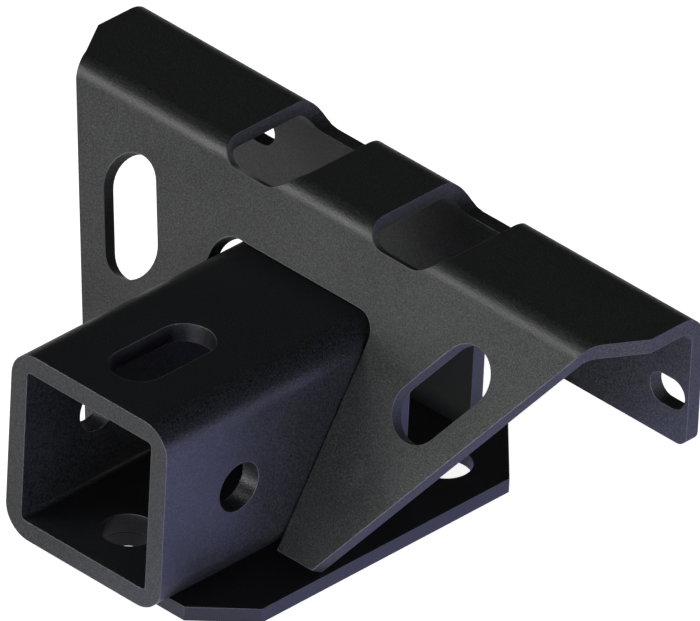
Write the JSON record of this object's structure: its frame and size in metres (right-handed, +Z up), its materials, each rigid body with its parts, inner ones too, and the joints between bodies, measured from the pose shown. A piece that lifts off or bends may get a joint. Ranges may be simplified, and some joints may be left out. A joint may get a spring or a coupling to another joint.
{
  "type": "receiver hitch",
  "caption": "Welded bolt-on receiver hitch: a square receiver tube with a pin hole, held by a folded and slotted sheet bracket on a flat base plate.",
  "frame": {"origin": "where the hitch pin's axis crosses the receiver tube's centre line", "axes": "+X along the hitch pin across the bracket, +Y back along the tube away from its mouth, +Z up with the base plate below"},
  "size_m": [0.2258, 0.1537, 0.0905],
  "materials": {
    "powder_coat": "satin black powder coat with a fine texture"
  },
  "bodies": {
    "root": {"receiver_tube": "powder_coat", "bracket_sheet": "powder_coat", "base_plate": "powder_coat", "rear_upright": "powder_coat", "weld_tube_top": "powder_coat", "weld_tube_end": "powder_coat", "weld_upright_foot": "powder_coat", "weld_upright_top": "powder_coat", "weld_tube_side_right": "powder_coat", "weld_tube_side_left": "powder_coat", "weld_foot_right": "powder_coat", "weld_foot_left": "powder_coat", "weld_tube_groove_right": "powder_coat", "weld_tube_groove_left": "powder_coat"}
  },
  "joints": []
}
